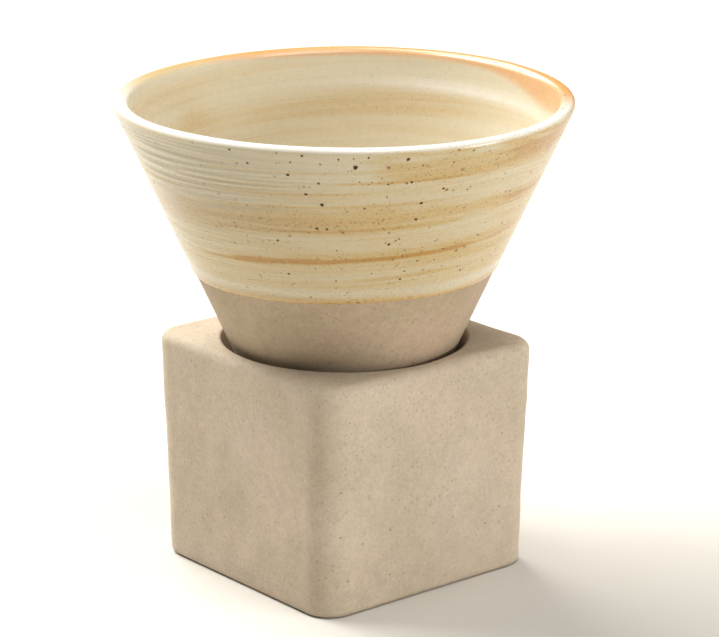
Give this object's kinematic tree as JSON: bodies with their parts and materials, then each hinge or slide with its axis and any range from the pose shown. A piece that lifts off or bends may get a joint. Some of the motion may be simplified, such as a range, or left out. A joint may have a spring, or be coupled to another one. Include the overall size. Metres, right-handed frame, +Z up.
{
  "type": "conical cup with cube stand",
  "caption": "Conical stoneware cup, glazed above a bare clay foot, that stands loose in the conical well of a hollow cube-shaped stoneware stand.",
  "frame": {"origin": "on the table, under the middle of the stand", "axes": "+Z up, along the axis of the cup and of the well; +X and +Y square to two neighbouring sides of the stand"},
  "size_m": [0.0978, 0.0978, 0.1038],
  "materials": {
    "stand_clay": "matte",
    "cup_clay": "matte",
    "cup_glaze": "glossy"
  },
  "bodies": {
    "stand": {"stand": "stand_clay"},
    "cup": {"cup_body": "cup_clay", "cup_glaze": "cup_glaze"}
  },
  "joints": [
    {"name": "cup_lift", "type": "slide", "parent": "stand", "child": "cup", "axis": [0, 0, 1], "range_m": [0, 0.06]}
  ]
}
